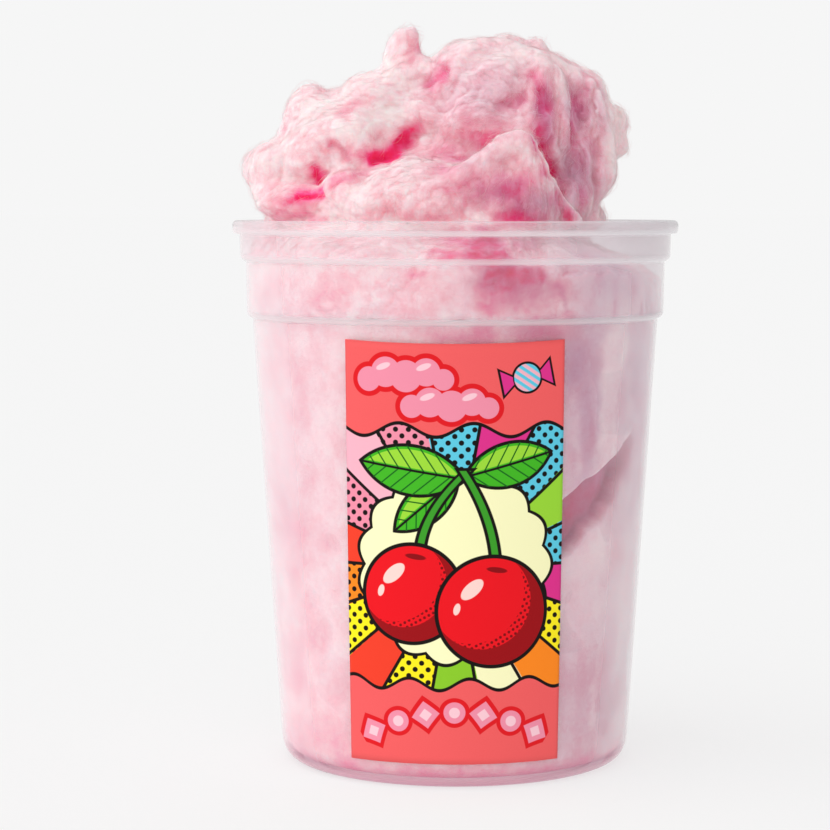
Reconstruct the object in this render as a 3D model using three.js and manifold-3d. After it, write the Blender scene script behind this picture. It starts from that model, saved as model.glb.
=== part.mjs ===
// Cotton candy in a milky deli tub with a rolled rim, heaped well above the rim, with a wrap label.
// Millimetres, +Z up. Origin: centre of the tub's foot, on the surface it stands on. Front is -Y.

import * as THREE from "three";
import { ImprovedNoise } from "three/addons/math/ImprovedNoise.js";
import { mergeVertices } from "three/addons/utils/BufferGeometryUtils.js";
import Module from "manifold-3d";

const wasm = await Module();
wasm.setup();

// ---- Driving dimensions ----

const roundSegments = 48;
const clearance = 0.3; // kept between two pieces that lie against each other
const joinTolerance = 0.12; // slivers smaller than this are dropped where lumps of floss join

const tub = {
  height: 142,
  rimRadius: 58.5,
  beadHeight: 3.4,
  wall: 0.85,
  footRadius: 40.3,
  footWidth: 2.6,
  footRise: 1.2, // the middle of the base stands this far off the table
  cornerTop: 6.5, // height where the rounded bottom corner meets the wall
  baseRadius: 45.55, // the tapered wall carried down to the table
  taper: 0.0665, // radius gained per millimetre of height
};
const lowerBand = { bottom: 117, low: 54.7, high: 55.0 };
const upperBand = { bottom: 131.8, low: 56.4, high: 56.6 };
const bandCorner = 1.3; // radius of the rounded step under each band

const label = {
  bottom: 6.8,
  top: 112.4,
  thickness: 0.15,
  halfAngleLow: 34, // degrees either side of the front
  halfAngleHigh: 30.4,
  columns: 20,
};

const fill = {
  floorGap: 0.35,
  shoulder: 124, // the packed floss starts to round inwards here
  top: 136,
  topRadius: 43,
  slope: 4.5, // it stands this much higher at the left wall than on the axis
  rows: 12,
};

// Hollows where the floss stands off the wall: degrees from the front towards +X, height, half sizes, depth.
const hollows = [
  { angle: 40, height: 66, halfAngle: 15, halfHeight: 7, depth: 6, slope: 1.05 },
  { angle: 62, height: 90, halfAngle: 14, halfHeight: 8, depth: 5, slope: 1.05 },
  { angle: 12, height: 122, halfAngle: 13, halfHeight: 8, depth: 6, slope: 0 },
  { angle: -158, height: 84, halfAngle: 16, halfHeight: 12, depth: 5, slope: -0.6 },
  { angle: 118, height: 42, halfAngle: 15, halfHeight: 10, depth: 5, slope: 0.5 },
];

// Lumps of floss that make the heap: centre, half sizes, lean about Y in degrees.
const lumps = {
  heap: { at: [-5.5, 0, 140], size: [43, 43, 24], lean: 0 },
  dome: { at: [13, 1, 167], size: [27, 29, 23.5], lean: 6 },
  shoulder: { at: [-26, -4, 160], size: [22, 25, 17], lean: 0 },
  crest: { at: [-19.5, -8, 173], size: [10.5, 12, 7.5], lean: 0 },
  hump: { at: [-39.5, -6, 169], size: [7.5, 10, 8.5], lean: 10 },
  cheek: { at: [-45.5, -12, 154.8], size: [10.3, 11, 9], lean: 0 },
  cheekFoot: { at: [-35, -25, 144.8], size: [13, 10, 5], lean: 0 },
  lip: { at: [-16, -33, 152.5], size: [8, 7.5, 4.5], lean: -25 },
  bib: { at: [-8, -36, 146.5], size: [16, 9, 8], lean: 0 },
  apron: { at: [16, -31, 149], size: [17, 11, 13.5], lean: 0 },
  tuftFoot: { at: [-14.8, -8, 179], size: [8, 8, 7], lean: 0 },
  tuft: { at: [-14, -8, 185.5], size: [5, 4.6, 7.4], lean: 12 },
  knot: { at: [18.5, 0, 187.5], size: [4, 4, 3.6], lean: 0 },
  foldNear: { at: [27, -15, 167], size: [5, 8.5, 20], lean: 4 },
  foldFar: { at: [37, -5, 167], size: [4.5, 11, 18.5], lean: -5 },
  flap: { at: [42.5, 0, 167], size: [2.8, 8, 8], lean: 8 },
  skirt: { at: [30.5, -20, 150], size: [8, 12, 9], lean: 0 },
  backTop: { at: [2, 19, 171], size: [21, 16, 15], lean: 0 },
  backLeft: { at: [-28, 22, 158], size: [17, 16, 14], lean: 8 },
  backRight: { at: [25, 22, 159], size: [15, 16, 16], lean: -6 },
  backLow: { at: [-2, 38, 146], size: [19, 12, 11], lean: 0 },
  backLeftLow: { at: [-34, 28, 145], size: [15, 13, 9], lean: 0 },
  backRightLow: { at: [27, 31, 145], size: [14, 12, 10], lean: 0 },
};

// The raised ridge that arches over the apron, from its left foot over the peak to its right foot.
const ridge = {
  path: [
    [-1, -40, 150.5],
    [7.5, -41, 155.6],
    [14, -39.5, 160.2],
    [18, -37.5, 163],
    [21.6, -35.5, 157],
    [27, -33, 150],
    [33, -29, 144.6],
  ],
  radius: 2.4,
  steps: 12,
};

const puffs = { cell: 13, share: 0.12 }; // billows on every lump, as a share of its size
const lumpFacets = { least: 1.3, perMillimetre: 0.11 }; // how finely a lump is divided

// ---- Shared helpers ----

const material = (colour, roughness) =>
  new THREE.MeshStandardMaterial({ color: colour, roughness, metalness: 0 });

const noise = new ImprovedNoise();

// Rounded billows with narrow creases between them, from 0 in a crease to about 1 on a crown.
function billow(point, cell) {
  const value = noise.noise(point.x / cell + 31.7, point.y / cell + 12.3, point.z / cell + 7.9);
  return Math.min(1, Math.abs(value) * 2.2);
}

// A geometry as a manifold-3d solid.
function solidOf(geometry) {
  const bare = geometry.index ? geometry.toNonIndexed() : geometry.clone();
  bare.deleteAttribute("normal");
  bare.deleteAttribute("uv");
  const merged = mergeVertices(bare, 1e-4);
  return new wasm.Manifold(
    new wasm.Mesh({
      numProp: 3,
      vertProperties: new Float32Array(merged.attributes.position.array),
      triVerts: new Uint32Array(merged.index.array),
    }),
  );
}

// A manifold-3d solid as a geometry.
function geometryOf(solid) {
  const mesh = solid.getMesh();
  const geometry = new THREE.BufferGeometry();
  geometry.setAttribute("position", new THREE.BufferAttribute(mesh.vertProperties, 3));
  geometry.setIndex(new THREE.BufferAttribute(mesh.triVerts, 1));
  return geometry;
}

// A closed outline of (radius, height) turned about +Z.
function turned(points) {
  const geometry = new THREE.LatheGeometry(points, roundSegments);
  return geometry.rotateX(Math.PI / 2);
}

// ---- Tub ----

const wallRadius = (height) => tub.baseRadius + tub.taper * height;

// The outside of the tub from the foot's outer edge to under the bead, moved in by one wall for the inside.
function traceWall(path, inset) {
  const rise = inset > 0 ? tub.footRise + inset : 0;
  const drop = inset * 0.7; // the inside of each step sits a little higher than the outside
  path.quadraticCurveTo(
    wallRadius(0) - inset,
    rise,
    wallRadius(tub.cornerTop) - inset,
    tub.cornerTop + rise * 0.5,
  );
  for (const band of [lowerBand, upperBand]) {
    const below = band === lowerBand ? wallRadius(band.bottom - bandCorner) : lowerBand.high;
    path.lineTo(below - inset, band.bottom - bandCorner * 0.4 + drop);
    path.quadraticCurveTo(
      band.low - inset,
      band.bottom + drop,
      band.low + 0.05 - inset,
      band.bottom + bandCorner + drop,
    );
  }
}

function tubOutline() {
  const outside = new THREE.Path();
  const ringInside = tub.footRadius - tub.footWidth;
  outside.moveTo(0, tub.footRise);
  outside.lineTo(ringInside - tub.footRise, tub.footRise);
  outside.lineTo(ringInside, 0);
  outside.lineTo(tub.footRadius, 0);
  traceWall(outside, 0);
  const underBead = tub.height - tub.beadHeight;
  const beadMiddle = tub.height - tub.beadHeight / 2;
  outside.lineTo(upperBand.high, underBead);
  outside.lineTo(tub.rimRadius - 0.5, underBead);
  outside.quadraticCurveTo(tub.rimRadius, underBead, tub.rimRadius, beadMiddle);
  outside.quadraticCurveTo(tub.rimRadius, tub.height, tub.rimRadius - 1.2, tub.height);
  outside.lineTo(upperBand.high - tub.wall + 0.6, tub.height);

  const inside = new THREE.Path();
  inside.moveTo(0, tub.footRise + tub.wall);
  inside.lineTo(tub.footRadius - 1, tub.footRise + tub.wall);
  traceWall(inside, tub.wall);
  inside.lineTo(upperBand.high - tub.wall, tub.height - 0.7);

  const curveSteps = 3;
  return [...outside.getPoints(curveSteps), ...inside.getPoints(curveSteps).reverse()];
}

const tubMesh = new THREE.Mesh(turned(tubOutline()), material("#e6dcdf", 0.35));
tubMesh.name = "tub";

// ---- Cotton candy ----

// The inside radius of the tub at a height, less the gap that the packed floss keeps from it.
function packedRadius(height) {
  let radius = Math.min(wallRadius(height), wallRadius(lowerBand.bottom - bandCorner));
  if (height > lowerBand.bottom + 2 * bandCorner) radius = lowerBand.low;
  if (height > upperBand.bottom + 2 * bandCorner) radius = upperBand.low;
  const flatLoss = Math.cos(Math.PI / roundSegments);
  return (radius - tub.wall) * flatLoss - clearance;
}

// How far the floss stands off the wall at an angle and height.
function hollowDepth(angle, height) {
  let depth = 0;
  for (const hollow of hollows) {
    const turn = THREE.MathUtils.euclideanModulo(angle - hollow.angle + 180, 360) - 180;
    const across = turn / hollow.halfAngle;
    const up = (height - hollow.height - hollow.slope * turn) / hollow.halfHeight;
    depth = Math.max(depth, hollow.depth * Math.max(0, 1 - across * across - up * up));
  }
  return depth;
}

// The floss packed inside the tub, one closed turned form with its hollows pressed in.
function packedFloss() {
  const floorHeight = tub.footRise + tub.wall + fill.floorGap;
  const outline = [new THREE.Vector2(0, floorHeight), new THREE.Vector2(tub.footRadius - 4, floorHeight)];
  for (let row = 0; row <= fill.rows; row++) {
    const height = THREE.MathUtils.lerp(tub.cornerTop + 3, fill.shoulder, row / fill.rows);
    outline.push(new THREE.Vector2(packedRadius(height), height));
  }
  const shoulderRadius = packedRadius(fill.shoulder);
  for (const share of [0.5, 1]) {
    outline.push(
      new THREE.Vector2(
        THREE.MathUtils.lerp(shoulderRadius, fill.topRadius, share * share),
        THREE.MathUtils.lerp(fill.shoulder, fill.top, Math.sqrt(share)),
      ),
    );
  }
  outline.push(new THREE.Vector2(0, fill.top));
  const geometry = turned(outline);
  const position = geometry.attributes.position;
  const point = new THREE.Vector3();
  for (let i = 0; i < position.count; i++) {
    point.fromBufferAttribute(position, i);
    const radius = Math.hypot(point.x, point.y);
    if (radius < 1 || point.z < tub.cornerTop) continue;
    const angle = THREE.MathUtils.radToDeg(Math.atan2(point.x, -point.y));
    let target = radius - hollowDepth(angle, point.z);
    let height = point.z;
    if (height > fill.shoulder + 1) {
      height -= (fill.slope * point.x) / fill.topRadius;
      target -= 2.5 * billow(point, puffs.cell);
    }
    position.setXYZ(i, (point.x * target) / radius, (point.y * target) / radius, height);
  }
  return solidOf(geometry);
}

// One lump: a faceted ball stretched to its half sizes, leaned, and swollen into billows.
function lumpSolid({ at, size, lean }) {
  const detail = Math.round(lumpFacets.least + Math.max(...size) * lumpFacets.perMillimetre);
  const geometry = new THREE.IcosahedronGeometry(1, detail);
  geometry.scale(...size);
  geometry.rotateY(THREE.MathUtils.degToRad(lean));
  const middle = new THREE.Vector3(...at);
  const position = geometry.attributes.position;
  const point = new THREE.Vector3();
  const crown = new THREE.Vector3();
  for (let i = 0; i < position.count; i++) {
    point.fromBufferAttribute(position, i);
    crown.copy(point).add(middle);
    const swell = 1 + puffs.share * (2 * billow(crown, puffs.cell) - 1);
    point.multiplyScalar(swell).add(middle);
    position.setXYZ(i, point.x, point.y, point.z);
  }
  return solidOf(geometry);
}

// The arched ridge, a rounded section carried along its path.
function ridgeSolid() {
  const section = new THREE.Shape();
  section.absellipse(0, 0, ridge.radius, ridge.radius * 1.5, 0, 2 * Math.PI);
  const path = new THREE.CatmullRomCurve3(ridge.path.map((point) => new THREE.Vector3(...point)));
  const geometry = new THREE.ExtrudeGeometry(section, {
    extrudePath: path,
    steps: ridge.steps,
    curveSegments: 4,
    bevelEnabled: false,
  });
  return solidOf(geometry);
}

// The room that the tub's wall and bead take up, with the gap round them.
function tubRoom() {
  const inner = packedRadius(tub.height);
  const outer = tub.rimRadius + tub.beadHeight;
  const top = tub.height + clearance;
  const outline = [
    new THREE.Vector2(inner, fill.shoulder),
    new THREE.Vector2(outer, fill.shoulder),
    new THREE.Vector2(outer, top),
    new THREE.Vector2(inner, top),
    new THREE.Vector2(inner, fill.shoulder),
  ];
  return solidOf(turned(outline));
}

const flossPieces = [packedFloss(), ridgeSolid(), ...Object.values(lumps).map(lumpSolid)];
const joined = wasm.Manifold.union(flossPieces).subtract(tubRoom()).setTolerance(joinTolerance);
// Only the outer skin is kept, so that no pocket stays sealed between lumps and no scrap lies loose.
const skins = solidOf(geometryOf(joined)).decompose();
const floss = skins.reduce((best, skin) => (skin.volume() > best.volume() ? skin : best));
const candyMesh = new THREE.Mesh(geometryOf(floss), material("#f0b6c4", 0.9));
candyMesh.name = "candy";

// ---- Label ----

// A thin sheet bent round the front of the tapered wall.
function labelGeometry() {
  const { bottom, top, thickness, halfAngleLow, halfAngleHigh, columns } = label;
  const geometry = new THREE.BoxGeometry(2, 1, 1, columns, 1, 1);
  const position = geometry.attributes.position;
  for (let i = 0; i < position.count; i++) {
    const share = position.getZ(i) + 0.5;
    const height = THREE.MathUtils.lerp(bottom, top, share);
    const halfAngle = THREE.MathUtils.lerp(halfAngleLow, halfAngleHigh, share);
    const angle = THREE.MathUtils.degToRad(position.getX(i) * halfAngle);
    const outwards = clearance + thickness * (0.5 - position.getY(i));
    const radius = wallRadius(height) + outwards;
    position.setXYZ(i, radius * Math.sin(angle), -radius * Math.cos(angle), height);
  }
  return geometry;
}

const labelMesh = new THREE.Mesh(labelGeometry(), material("#ef6368", 0.45));
labelMesh.name = "label";

// ---- Whole part ----

const group = new THREE.Group();
group.add(tubMesh, candyMesh, labelMesh);

export default group;
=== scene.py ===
import math

import bpy
import numpy as np
from mathutils.bvhtree import BVHTree
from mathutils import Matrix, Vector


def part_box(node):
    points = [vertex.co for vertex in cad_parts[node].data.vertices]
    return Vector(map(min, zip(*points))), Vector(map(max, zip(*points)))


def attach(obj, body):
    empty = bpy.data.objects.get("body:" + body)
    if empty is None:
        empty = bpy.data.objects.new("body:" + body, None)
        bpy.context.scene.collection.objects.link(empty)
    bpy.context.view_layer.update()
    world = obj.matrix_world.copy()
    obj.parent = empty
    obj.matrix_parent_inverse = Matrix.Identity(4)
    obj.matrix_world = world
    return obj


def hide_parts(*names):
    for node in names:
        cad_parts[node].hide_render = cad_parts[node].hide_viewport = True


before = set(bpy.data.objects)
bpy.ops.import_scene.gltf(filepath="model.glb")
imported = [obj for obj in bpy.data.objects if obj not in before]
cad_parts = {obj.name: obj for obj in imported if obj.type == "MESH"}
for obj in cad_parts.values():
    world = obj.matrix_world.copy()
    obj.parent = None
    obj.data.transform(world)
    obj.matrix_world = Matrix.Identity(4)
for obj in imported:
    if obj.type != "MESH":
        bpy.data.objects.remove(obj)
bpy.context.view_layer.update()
mm = 0.001  # shapes below are worked out in millimetres


def linear(hexColour):  # sRGB hex to linear RGBA
    parts = [int(hexColour[i:i + 2], 16) / 255 for i in (1, 3, 5)]
    return tuple(c / 12.92 if c <= 0.04045 else ((c + 0.055) / 1.055) ** 2.4 for c in parts) + (1.0,)


def addNode(tree, kind, settings=None):  # a setting is a value, or what feeds it
    node = tree.nodes.new("ShaderNode" + kind)
    for key, value in (settings or {}).items():
        value = getattr(value, "socket", value)
        if isinstance(value, bpy.types.Node):
            value = value.outputs[0]
        if isinstance(value, bpy.types.NodeSocket):
            tree.links.new(value, node.inputs[key])
        elif isinstance(key, str) and hasattr(node, key) and key not in node.inputs:
            setattr(node, key, value)
        else:
            node.inputs[key].default_value = value
    return node


class Field:  # a number that varies over a surface; arithmetic on fields adds the nodes that work it out
    def __init__(self, socket):
        self.socket = socket

    def __add__(self, other):
        return worked("ADD", self, other)

    def __sub__(self, other):
        return worked("SUBTRACT", self, other)

    def __rsub__(self, other):
        return worked("SUBTRACT", other, self)

    def __mul__(self, other):
        return worked("MULTIPLY", self, other)

    def __abs__(self):
        return worked("ABSOLUTE", self)

    def between(self, low, high, start=0.0, end=1.0):  # from start at low to end at high
        return Field(addNode(self.socket.id_data, "MapRange", {
            "From Min": low, "From Max": high, "To Min": start, "To Max": end, "Value": self}).outputs[0])


def worked(operation, *values):  # one step of arithmetic on fields and numbers
    tree = next(value.socket.id_data for value in values if isinstance(value, Field))
    return Field(addNode(tree, "Math", {"operation": operation, **dict(enumerate(values))}).outputs[0])


def largest(first, *others):
    for other in others:
        first = worked("MAXIMUM", first, other)
    return first


def setStops(ramp, stops):  # positions and colours of a colour ramp
    while len(ramp.color_ramp.elements) < len(stops):
        ramp.color_ramp.elements.new(0.5)
    for element, (position, colour) in zip(ramp.color_ramp.elements, stops):
        element.position, element.color = position, linear(colour)


def newMaterial(name):  # an empty node material and its node tree
    material = bpy.data.materials.new(name)
    material.use_nodes = True
    material.node_tree.nodes.clear()
    return material, material.node_tree


# Gradient noise: random slopes on a lattice of cells, blended smoothly, about -1 to 1.
slopes = np.random.default_rng(11).normal(size=(256, 3))
slopes /= np.linalg.norm(slopes, axis=1, keepdims=True)
shuffle = np.random.default_rng(12).permutation(256)


def gradientNoise(points, cell, seed=0):
    p = points / cell + np.array([17.3, 5.1, 9.7]) * (seed + 1)
    base = np.floor(p).astype(np.int64)
    f = p - base
    ease = f * f * f * (f * (f * 6 - 15) + 10)
    total = np.zeros(len(p))
    for corner in range(8):
        step = np.array([corner & 1, corner >> 1 & 1, corner >> 2 & 1])
        i, j, k = ((base + step) & 255).T
        pick = shuffle[(shuffle[(shuffle[i] + j) & 255] + k) & 255]
        weight = np.prod(np.where(step, ease, 1 - ease), axis=1)
        total += weight * np.einsum("ij,ij->i", slopes[pick], f - step)
    return total * 1.6


def vectorNoise(points, cell, seed=0):
    return np.stack([gradientNoise(points, cell, seed + k) for k in range(3)], axis=1)


def billow(points, cell, seed=0):  # rounded crowns with narrow creases, 0 to 1
    return np.clip(np.abs(gradientNoise(points, cell, seed)) * 2.2, 0, 1)


def smoothStep(low, high, value):
    t = np.clip((value - low) / (high - low), 0, 1)
    return t * t * (3 - 2 * t)


def gridQuads(rows, columns, wrap=False):  # faces of a grid of points stored row by row
    r, c = np.meshgrid(np.arange(rows - 1), np.arange(columns if wrap else columns - 1), indexing="ij")
    right = (c + 1) % columns
    return np.stack([r * columns + c, r * columns + right, (r + 1) * columns + right, (r + 1) * columns + c],
                    axis=-1).reshape(-1, 4)


def closedGrid(rows, columns, flip=False):  # a grid that wraps round, closed by two end points
    first = np.arange(columns)
    last = first + columns * (rows - 1)
    fans = [np.stack([np.full(columns, rows * columns), np.roll(first, -1), first], axis=1),
            np.stack([np.full(columns, rows * columns + 1), last, np.roll(last, -1)], axis=1)]
    quads = gridQuads(rows, columns, wrap=True)
    return [quads[:, ::-1], *(fan[:, [0, 2, 1]] for fan in fans)] if flip else [quads, *fans]


def buildMesh(name, points, faceGroups):  # a mesh from an array of points and arrays of faces
    mesh = bpy.data.meshes.new(name)
    corners = np.concatenate([faces.ravel() for faces in faceGroups])
    sizes = np.concatenate([np.full(len(faces), faces.shape[1]) for faces in faceGroups])
    starts = np.concatenate([[0], np.cumsum(sizes)[:-1]])
    mesh.vertices.add(len(points))
    mesh.vertices.foreach_set("co", (points * mm).astype(np.float32).ravel())
    mesh.loops.add(len(corners))
    mesh.loops.foreach_set("vertex_index", corners.astype(np.int32))
    mesh.polygons.add(len(sizes))
    mesh.polygons.foreach_set("loop_start", starts.astype(np.int32))
    mesh.update(calc_edges=True)
    mesh.validate()
    mesh.polygons.foreach_set("use_smooth", np.ones(len(mesh.polygons), dtype=bool))
    return mesh


def addPiece(name, points, faceGroups, material, slotName, replaced=(), **attributes):
    piece = bpy.data.objects.new(name, buildMesh(name, points, faceGroups))
    bpy.context.scene.collection.objects.link(piece)
    piece.data.materials.append(material)
    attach(piece, "root")
    if replaced:
        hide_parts(*replaced)
    for key, values in attributes.items():  # one number for each point
        piece.data.attributes.new(key, "FLOAT", "POINT").data.foreach_set("value", values.astype(np.float32))


# The tub.
tubLow, tubHigh = (np.array(corner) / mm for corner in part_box("tub"))
tub = {
    "height": tubHigh[2], "rimRadius": tubHigh[0], "beadHeight": 3.4, "wall": 0.85,
    "footRadius": 40.3, "footWidth": 2.6, "footRise": 1.2, "cornerTop": 6.5,
    "baseRadius": 45.55, "taper": 0.0665, "bandCorner": 1.3,
    "lowerBand": {"bottom": 117.0, "low": 54.7, "high": 55.0},
    "upperBand": {"bottom": 131.8, "low": 56.4, "high": 56.6},
    "segments": 192, "curveSteps": 8,
}


def wallRadius(height):  # the outside of the tapered wall
    return tub["baseRadius"] + tub["taper"] * height


def bend(start, middle, end):  # a quadratic curve, without its first point
    t = np.linspace(0, 1, tub["curveSteps"] + 1)[1:, None]
    return (1 - t) ** 2 * np.array(start) + 2 * t * (1 - t) * np.array(middle) + t * t * np.array(end)


def wallTrace(start, inset):  # corner, tapered wall and the two stepped bands, moved in by inset
    rise = tub["footRise"] + inset if inset else 0
    lift = inset * 0.7
    points = [np.array([start])]
    points.append(bend(start, (wallRadius(0) - inset, rise),
                       (wallRadius(tub["cornerTop"]) - inset, tub["cornerTop"] + rise * 0.5)))
    low = tub["cornerTop"] + 2.0  # rows close to each corner keep the straight walls' shading straight
    points.append(np.array([[wallRadius(low) - inset, low]]))
    below = wallRadius(tub["lowerBand"]["bottom"] - tub["bandCorner"])
    for band in (tub["lowerBand"], tub["upperBand"]):
        foot = (below - inset, band["bottom"] - tub["bandCorner"] * 0.4 + lift)
        top = (band["low"] + 0.05 - inset, band["bottom"] + tub["bandCorner"] + lift)
        points += [np.array([[foot[0] - 0.03, foot[1] - 0.5], foot]),
                   bend(foot, (band["low"] - inset, band["bottom"] + lift), top),
                   np.array([[top[0] + 0.01, top[1] + 0.5]])]
        below = band["high"]
    return np.concatenate(points)


def tubOutline():  # radius and height, from the base's underside out, up and back down inside
    ring = tub["footRadius"] - tub["footWidth"]
    neck, rim, top = tub["upperBand"]["high"], tub["rimRadius"], tub["height"]
    underBead, beadMiddle = top - tub["beadHeight"], top - tub["beadHeight"] / 2
    under = np.array([[ring - tub["footRise"], tub["footRise"]], [ring, 0.0]])
    bead = np.concatenate([
        [[neck, underBead - 0.9], [neck, underBead - 0.3]],
        bend((neck, underBead - 0.3), (neck, underBead), (57.2, underBead)),
        [[rim - 0.5, underBead]],
        bend((rim - 0.5, underBead), (rim, underBead), (rim, beadMiddle)),
        bend((rim, beadMiddle), (rim, top), (rim - 1.3, top)),
        bend((rim - 1.3, top), (rim - 2.6, top), (neck - tub["wall"], top - 0.9)),
    ])
    inside = wallTrace((tub["footRadius"] - 1, tub["footRise"] + tub["wall"]), tub["wall"])
    return np.concatenate([under, wallTrace((tub["footRadius"], 0.0), 0.0), bead, inside[::-1]])


def revolve(outline, segments):  # carries an outline round the axis and closes it with a point at each end
    angle = np.linspace(0, 2 * np.pi, segments, endpoint=False)
    ring = np.stack([np.sin(angle), -np.cos(angle)], axis=1)
    rows = [np.column_stack([radius * ring, np.full(segments, height)]) for radius, height in outline]
    points = np.concatenate([*rows, [[0, 0, outline[0][1]], [0, 0, outline[-1][1]]]])
    return points, closedGrid(len(outline), segments)


def innerRadius(height):  # the inside of the tub at any height
    outline = wallTrace((tub["footRadius"] - 1, tub["footRise"] + tub["wall"]), tub["wall"])
    return np.interp(height, outline[:, 1], outline[:, 0])


def milkyPolypropylene():  # moulded PP: lets most light through, whitens what is behind it, soft gloss
    material, tree = newMaterial("milkyPolypropylene")
    outside = Field(addNode(tree, "Attribute", {"attribute_name": "outside"}).outputs["Fac"])
    facing = Field(addNode(tree, "LayerWeight", {"Blend": 0.25}).outputs["Facing"])
    at = addNode(tree, "SeparateXYZ", {0: addNode(tree, "TexCoord").outputs["Object"]})
    height, side = Field(at.outputs["Z"]), Field(at.outputs["X"]).between(12 * mm, 52 * mm)
    # The milky share: more at a grazing look and in the foot, more along each ledge as a painted highlight,
    # and more in the bands on the +X side as painted shade.
    straight, grazing = outside * 0.09 + 0.02, outside * 0.7 + 0.1
    share = straight + facing * (grazing - straight) + height.between(1.6 * mm, 3.6 * mm, 0.55, 0.0)
    share = share + height.between(129 * mm, 134 * mm, 0.0, 0.24) * side
    # Painted highlight: extra milk along the foot of each band and under the bead, where the ledges catch
    # light.
    for foot in (tub["lowerBand"]["bottom"], tub["upperBand"]["bottom"], tub["height"] - tub["beadHeight"]):
        share = share + abs(height - (foot + 0.35) * mm).between(0.35 * mm, 1.0 * mm, 0.5, 0.0) * outside
    # The milk's tone up from the base: pinkish like the floss in the foot, with a dark magenta line at the
    # very bottom that is painted shade along the base.
    tone = addNode(tree, "ValToRGB", {"Fac": height.between(0.0, 6 * mm)})
    setStops(tone, [(0.0, "#C4508C"), (0.1, "#E6B2C9"), (0.35, "#F6D6E1"), (1.0, "#F6F3F5")])
    # Painted shade: the milk's tone is greyer and cooler towards +X, the side away from the key lamp.
    tone = addNode(tree, "Mix", {"data_type": "RGBA", "blend_type": "MULTIPLY", 0: side, 6: tone,
                                 7: linear("#F5F9F9")}).outputs[2]
    body = addNode(tree, "BsdfDiffuse", {"Color": tone})
    glow = addNode(tree, "BsdfTranslucent", {"Color": tone})
    milk = addNode(tree, "MixShader", {0: 0.5, 1: body, 2: glow})
    # Painted shade: the clear part is a little darker towards +X.
    clearShadedSide = addNode(tree, "Mix", {"data_type": "RGBA", 0: side, 6: linear("#FFFDFE"), 7: linear("#FCFBFC")})
    clear = addNode(tree, "BsdfTransparent", {"Color": clearShadedSide.outputs[2]})
    wall = addNode(tree, "MixShader", {0: share, 1: clear, 2: milk})
    gloss = addNode(tree, "BsdfGlossy", {"Color": (1, 1, 1, 1), "Roughness": 0.22})
    fresnel = Field(addNode(tree, "Fresnel", {"IOR": 1.45}).outputs[0])
    behind = Field(addNode(tree, "NewGeometry").outputs["Backfacing"])
    whole = addNode(tree, "MixShader", {0: fresnel * (1.0 - behind) * outside, 1: wall, 2: gloss})
    addNode(tree, "OutputMaterial", {"Surface": whole})
    return material


tubPoints, tubFaces = revolve(tubOutline(), tub["segments"])
insideRow = len(tubOutline()) - len(wallTrace((0, 0), 0))
onOutside = (np.arange(len(tubPoints)) < insideRow * tub["segments"]).astype(float)
addPiece("tubShell", tubPoints, tubFaces, milkyPolypropylene(), "tub", ["tub"], outside=onOutside)
print("tub done")


# The cotton candy above the rim.
lumps = {  # centre, half sizes, lean about Y in degrees
    "heap": ((-5.5, 0, 140), (43, 43, 24), 0),
    "dome": ((11.2, 1, 167), (25.7, 29, 22.3), 3),
    "shoulder": ((-26, -4, 159), (22, 25, 15.8), 0),
    "bridge": ((-8, -11, 169), (10, 13, 8), 0),
    "crest": ((-18.8, -8, 173.1), (9.6, 12, 7), 0),
    "hump": ((-38.3, -6, 167.6), (6.4, 9, 8.6), 6),
    "cheek": ((-44.5, -12, 155.2), (9.8, 11, 8.8), 0),
    "cheekFoot": ((-38.6, -21, 146.6), (12, 11, 5.4), 0),
    "chin": ((-26, -28, 147), (8, 9, 7.5), 0),
    "lip": ((-16, -32, 151.5), (8, 7.5, 5), -25),
    "bib": ((-8, -36, 146.5), (16, 9, 8), 0),
    "apron": ((12, -31, 147.5), (15, 11, 11), 0),
    "peak": ((15.5, -31, 154.5), (6.5, 8, 8), 8),
    "tuftFoot": ((-12.7, -8, 177.5), (5.9, 8, 7.5), 0),
    "tuft": ((-12.3, -8, 184), (4.9, 5.2, 7), 6),
    "tuftLeft": ((-14, -8, 188.6), (2.7, 3.4, 3.2), 0),
    "tuftRight": ((-10.8, -9, 189.5), (2.5, 3, 3.1), 0),
    "tuftFold": ((-8.4, -10, 181.6), (3.4, 4, 3.2), 20),
    "crown": ((10.6, -4, 184), (8.6, 11, 6.6), 0),
    "knot": ((19.9, 0, 187), (3, 3.4, 3.8), 0),
    "foldNear": ((26, -13, 165), (5, 8.5, 16.5), 4),
    "foldFar": ((35.5, -5, 163.5), (5.2, 11, 16), -5),
    "flap": ((41.2, 0, 168.4), (3.9, 7, 4.2), 0),
    "flapLow": ((41.4, -1, 162.2), (3.4, 6, 3.4), 0),
    "flank": ((37, -8, 155), (5.5, 10, 8), 0),
    "skirt": ((29.5, -15, 147), (7, 12, 7), 0),
    "valley": ((31, -13, 157), (5.5, 7, 10), 0),
    "cheekUnder": ((-44, -17, 149.4), (8, 9, 5.2), 0),
    "brow": ((30, -5, 174.8), (8, 9, 7.8), 0),
    "lobe": ((-18.5, -18, 164.6), (9, 8, 5.6), -20),
    "backTop": ((2, 19, 170.5), (21, 16, 14.5), 0),
    "backLeft": ((-28, 22, 158), (17, 16, 14), 8),
    "backRight": ((24, 22, 159), (15, 16, 16), -6),
    "backLow": ((-2, 38, 146), (19, 12, 11), 0),
    "backLeftLow": ((-34, 28, 145), (15, 13, 9), 0),
    "backRightLow": ((24, 31, 145), (14, 12, 10), 0),
}
ridge = {
    "path": [(-4, -38, 150.9), (1.2, -39, 152.2), (6.4, -39, 154.8), (10.6, -38.5, 158.8), (14.6, -37, 162.2),
             (17.8, -36, 162.6), (19.3, -35, 158), (23.2, -33, 152.6), (27.8, -31, 147), (31, -28, 140)],
    "radius": 2.2, "ripple": 0.3, "steps": 70, "sides": 20,
}
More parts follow.
